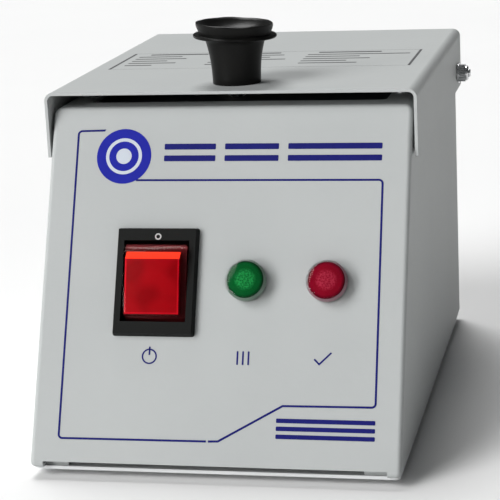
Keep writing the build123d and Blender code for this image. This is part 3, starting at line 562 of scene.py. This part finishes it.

# Rocker: a clear dark-red cap moulded over a brighter core, with a dark skirt between them, so its rim
# shows as a glassy edge round a red middle with a faint painted glow. The core's top slope is painted
# light, bright and glowing. It stands with its upper end out and turns on two pins.
ROCKER_UP = 56.2
ROCKER_IN = 2.5
ROCKER_LEAN = 8.0
CAP = {"width": 19.1, "length": 23.0, "low": -6.0, "high": 5.9, "slope": 1.9, "rounding": 0.45, "ends": 2}
SKIRT = {"width": 18.5, "length": 22.2, "low": -5.5, "high": 3.4, "slope": 0.9, "rounding": 0.25, "ends": 2}
CORE = {"width": 16.7, "length": 18.8, "low": -5.0, "high": 5.5, "slope": 2.4, "rounding": 0.25, "ends": 1}
CORE_SHIFT = (-0.6, 0.1)
cap_seat = on_panel(SWITCH_X, ROCKER_UP, -ROCKER_IN) @ Matrix.Rotation(math.radians(ROCKER_LEAN), 4, "X")
core_seat = cap_seat @ Matrix.Translation((CORE_SHIFT[0] * MM, CORE_SHIFT[1] * MM, 0.0))
core_finish, spot = begin("rocker_core")
local = seated(spot, core_seat)
across = local.node("SeparateXYZ", sockets={"Vector": local}, out="X")
along = local.node("SeparateXYZ", sockets={"Vector": local}, out="Y")
aside = across.node("Math", {"operation": "ABSOLUTE"}, {0: across})
side_x, low_y = CORE["width"] / 2, CORE["length"] / 2
# Painted highlight: a bright pinkish-red line round the edges of the core's face, for light caught on them.
painted_rim_light = aside.sum("MAXIMUM", aside > (side_x - 0.6) * MM, along < (0.6 - low_y) * MM)
# Painted shade: the core's side walls and lower end are painted near black, for the shade inside the bezel
# window.
shaded_walls = aside.sum("MAXIMUM", aside > (side_x - 0.1) * MM, along < (0.1 - low_y) * MM)
# Painted light: the core's top slope is painted bright orange, standing for the light falling on it from
# above.
painted_top_light = along > (CORE["length"] / 2 - CORE["slope"]) * MM
mottle = between(local, noise(local, 150.0, 0.0), 0.33, 0.60)
face_red = blend(local, mottle, (0.27, 0.001, 0.007), (0.40, 0.003, 0.013))
with_painted_rim_light = blend(local, painted_rim_light * 0.6, face_red, (0.80, 0.010, 0.045))
with_painted_top_light = blend(local, painted_top_light, with_painted_rim_light, (0.95, 0.10, 0.04))
surface(local, {
    "Base Color": blend(local, shaded_walls, with_painted_top_light, (0.07, 0.002, 0.006)),
    "Roughness": 0.35 + mottle * 0.1,
    "Specular IOR Level": 0.1,
    # Painted glow: faint over the whole core, strong on its top slope.
    "Emission Color": blend(local, painted_top_light * (1 - shaded_walls), (0.02, 0.0, 0.001), (0.75, 0.04, 0.015)),
    "Emission Strength": 0.8,
})
skirt_finish, spot = begin("rocker_skirt")
local = seated(spot, cap_seat)
along = local.node("SeparateXYZ", sockets={"Vector": local}, out="Y")
pale_end = between(local, along, 9.6 * MM, 10.4 * MM)
surface(local, {
    "Base Color": blend(local, pale_end, (0.060, 0.003, 0.008), (0.19, 0.060, 0.075)),
    "Roughness": 0.40 + noise(local, 200.0) * 0.1,
    "Specular IOR Level": 0.2,
})
cap_finish, spot = begin("rocker_cap")
surface(spot, {
    "Base Color": blend(spot, noise(spot, 200.0), (0.86, 0.34, 0.32), (0.90, 0.40, 0.37)),
    "Roughness": 0.04,
    "Transmission Weight": 1.0,
    "IOR": 1.14,
})


def wedge(size):
    """Block on the rocker's own plane, the two ends of its top cut back and its upper edges rounded."""
    shape = bmesh.new()
    low, high = size["low"] * MM, size["high"] * MM
    bmesh.ops.create_cube(shape, size=1.0, matrix=(
        Matrix.Translation((0.0, 0.0, (low + high) / 2))
        @ Matrix.Diagonal((size["width"] * MM, size["length"] * MM, high - low, 1.0))
    ))
    ends = [
        e for e in shape.edges
        if all(v.co.z > high - 1e-6 for v in e.verts)
        and abs(e.verts[0].co.y - e.verts[1].co.y) < 1e-6
        and (size["ends"] == 2 or e.verts[0].co.y > 0.0)
    ]
    bmesh.ops.bevel(shape, geom=ends, offset=size["slope"] * MM, offset_type="OFFSET", segments=1,
                    profile=0.5, affect="EDGES", material=-1)
    upper = [e for e in shape.edges if all(v.co.z > low + 1e-5 for v in e.verts)]
    bmesh.ops.bevel(shape, geom=upper, offset=size["rounding"] * MM, offset_type="OFFSET", segments=3,
                    profile=0.5, affect="EDGES", material=-1)
    return shape


for name, size, seat, finish, stands_for in (
    ("rocker_cap", CAP, cap_seat, cap_finish, ("switch_rocker",)),
    ("rocker_skirt", SKIRT, cap_seat, skirt_finish, ()),
    ("rocker_core", CORE, core_seat, core_finish, ()),
):
    shape = wedge(size)
    bmesh.ops.transform(shape, matrix=seat, verts=shape.verts)
    piece(shape, name, "rocker", finish, stands_for=stands_for)


# Lamps: a clear moulded lens with a coloured reflector behind it, whose middle is a mottled bright spot of
# painted light and whose edge is darker.
# The lens is a low drum with a rounded brim; a pale ring painted round the reflector's outer band is a
# painted highlight of that brim.
def turned(shape, profile, steps):
    """Turn a profile of radii and heights, in millimetres, about the upright axis."""
    points = [shape.verts.new((r * MM, 0.0, z * MM)) for r, z in profile]
    edges = [shape.edges.new(pair) for pair in zip(points, points[1:])]
    bmesh.ops.spin(
        shape, geom=points + edges, cent=(0.0, 0.0, 0.0), axis=(0.0, 0.0, 1.0),
        angle=math.tau, steps=steps, use_merge=True,
    )
    bmesh.ops.remove_doubles(shape, verts=shape.verts, dist=0.000002)


LAMP_STEPS = 48
LENS_PROFILE = ((0.0, 0.05), (6.05, 0.05), (6.05, 3.2), (5.9, 3.7), (5.5, 4.05), (4.9, 4.18), (0.0, 4.2))
REFLECTOR_PROFILE = ((0.0, 0.8), (5.5, 0.8), (5.55, 2.6), (5.45, 3.2), (5.1, 3.65), (4.4, 3.9), (0.0, 4.0))
clear_finish, spot = begin("clear_lens")
surface(spot, {
    "Base Color": blend(spot, noise(spot, 300.0), (0.93, 0.95, 0.94), (0.97, 0.98, 0.97)),
    "Roughness": 0.05,
    "Specular IOR Level": 0.25,
    "Transmission Weight": 1.0,
    "IOR": 1.18,
})
for colour, across, painted_light_colour, plain, rim, painted_rim_light in (
    ("green", 8.0, (0.020, 0.31, 0.072), (0.003, 0.090, 0.020), (0.004, 0.032, 0.012), (0.20, 0.27, 0.22)),
    ("red", 32.0, (0.45, 0.030, 0.062), (0.235, 0.003, 0.015), (0.080, 0.002, 0.009), (0.34, 0.20, 0.23)),
):
    seat = on_panel(across, LAMP_ROW_UP)
    spot_finish, spot = begin(f"{colour}_reflector")
    local = seated(spot, seat)
    flatwise = local.node("VectorMath", {"operation": "MULTIPLY"}, {0: local, 1: (1.0, 1.0, 0.0)})
    reach = local.node("VectorMath", {"operation": "LENGTH"}, {0: flatwise}, out="Value")
    # Painted light: a bright mottled spot painted in the reflector's middle.
    painted_light_spot = between(local, reach, 2.3 * MM, 3.4 * MM, 1.0, 0.04)
    edge = between(local, reach, 4.5 * MM, 5.35 * MM)
    # Painted highlight: a pale ring painted on the reflector's outer band, for light on the lens's glassy
    # brim.
    painted_rim_band = between(local, reach, 5.36 * MM, 5.44 * MM)
    facets = local.node("TexVoronoi", sockets={"Vector": local, "Scale": 1900.0})
    specks = between(local, facets, 0.25, 0.75, 0.12, 1.0)
    face = blend(local, edge, blend(local, painted_light_spot * specks, plain, painted_light_colour), rim)
    surface(local, {
        "Base Color": blend(local, painted_rim_band, face, painted_rim_light),
        "Roughness": 0.35,
        "Specular IOR Level": 0.0,
        "Normal": bump(local, facets, 0.00005, 0.3),
    })
    lens = f"{colour}_lens"
    for name, profile, finish, stands_for in (
        (f"{lens}_clear", LENS_PROFILE, clear_finish, (lens,)),
        (f"{colour}_reflector", REFLECTOR_PROFILE, spot_finish, ()),
    ):
        shape = bmesh.new()
        turned(shape, profile, LAMP_STEPS)
        bmesh.ops.transform(shape, matrix=seat, verts=shape.verts)
        piece(shape, name, "case", finish, stands_for=stands_for)

# Lid: one folded sheet with the case's coating a touch paler, hung on two side pivots.
lid_finish = coated("lid_coat", (0.430, 0.445, 0.441), (0.414, 0.430, 0.427), 0.31)
dress(lid_finish, "lid")

# Printing on the lid: black ink, a thin frame with heavier short sides round three columns of
# short plain lines where a table stands.
LID_LINE = 0.3
lid_ink_finish, spot = begin("black_ink")
surface(spot, {
    "Base Color": blend(spot, noise(spot, 300.0), (0.035, 0.037, 0.040), (0.065, 0.067, 0.070)),
    "Roughness": 0.5 + noise(spot, 800.0) * 0.12,
})
shape = bmesh.new()
frame_field = shape.faces.new([shape.verts.new((x * MM, y * MM, 0.0)) for x, y in (
    (-49.4, -2.2), (49.2, -2.2), (49.2, 31.8), (-49.4, 31.8),
)])
hollow(shape, frame_field, LID_LINE)
bar(shape, -49.4, -1.8, -48.6, 31.4, 0.0)
bar(shape, 48.4, -1.8, 49.2, 31.4, 0.0)
for left, header, lines in (
    (-46.0, 20.0, (15.0, 17.5, 12.0, 16.0, 9.0)),
    (-19.0, 18.0, (23.0, 19.0, 25.0, 16.0, 12.0)),
    (12.0, 21.0, (34.0, 18.0, 22.0, 15.0, 19.0)),
):
    bar(shape, left + 3.0, 27.8, left + 3.0 + header, 29.6, 0.0)
    for place, length in enumerate(lines):
        level = 23.4 - 4.6 * place
        bar(shape, left, level, left + length, level + 1.2, 0.0)
inked(shape, "lid_print", "lid", lid_ink_finish, Matrix.Translation((0.0, 0.0, LID_TOP * MM)))

# Knob: a hollow-topped handle moulded in black phenolic, with a collar below its rim, held down by a
# screw through the lid. It sits a touch askew, and its rim is uneven from use.
knob_finish, spot = begin("black_phenolic")
grain = noise(spot, 700.0, 3.0)
worn = noise(spot, 150.0, 4.0)
surface(spot, {
    "Base Color": blend(spot, worn, (0.0042, 0.0042, 0.0040), (0.0072, 0.0072, 0.0067)),
    "Roughness": 0.26 + worn * 0.14,
    "Specular IOR Level": 0.10,
    "Normal": bump(spot, grain, 0.00006, 0.5),
})
KNOB_H = 18.6
KNOB_STEPS = 64
shape = bmesh.new()
turned(shape, (
    (0.0, 0.0), (7.2, 0.0), (7.35, 0.2), (7.4, 2.0), (7.5, 4.2), (7.7, 6.4), (8.0, 8.6), (8.4, 10.6),
    (8.85, 12.4), (9.2, 13.4), (9.8, 13.75), (11.4, 13.85), (12.4, 13.95), (12.7, 14.2), (12.7, 14.7),
    (12.35, 15.0), (11.3, 15.1), (11.05, 15.3), (11.1, 15.8), (11.5, 16.9), (11.75, 17.9), (11.7, 18.4),
    (11.35, 18.6), (10.9, 18.5), (10.3, 17.9), (9.2, 16.9), (7.4, 15.8), (5.0, 15.0), (2.5, 14.6),
    (0.0, 14.5),
), KNOB_STEPS)
KNOB_ASKEW = 0.05
for point in shape.verts:
    height = point.co.z / (KNOB_H * MM)
    worn_rim = min(1.0, max(0.0, (height - 0.80) / 0.15)) * min(1.0, point.co.xy.length / (11.0 * MM))
    around = math.atan2(point.co.y, point.co.x)
    sunk = 0.15 + 0.07 * math.sin(5.0 * around + 0.9) + 0.05 * math.sin(9.0 * around)
    point.co.z -= sunk * worn_rim * MM
    point.co.z -= point.co.x * KNOB_ASKEW * height
    point.co.xy *= 1.0 + 0.006 * math.cos(7.0 * around + 0.4) * worn_rim
bmesh.ops.transform(
    shape, matrix=Matrix.Translation((0.0, KNOB_Y * MM, LID_TOP * MM)), verts=shape.verts,
)
piece(shape, "knob", "lid", knob_finish, sharp=50.0, stands_for=("lid_knob",))
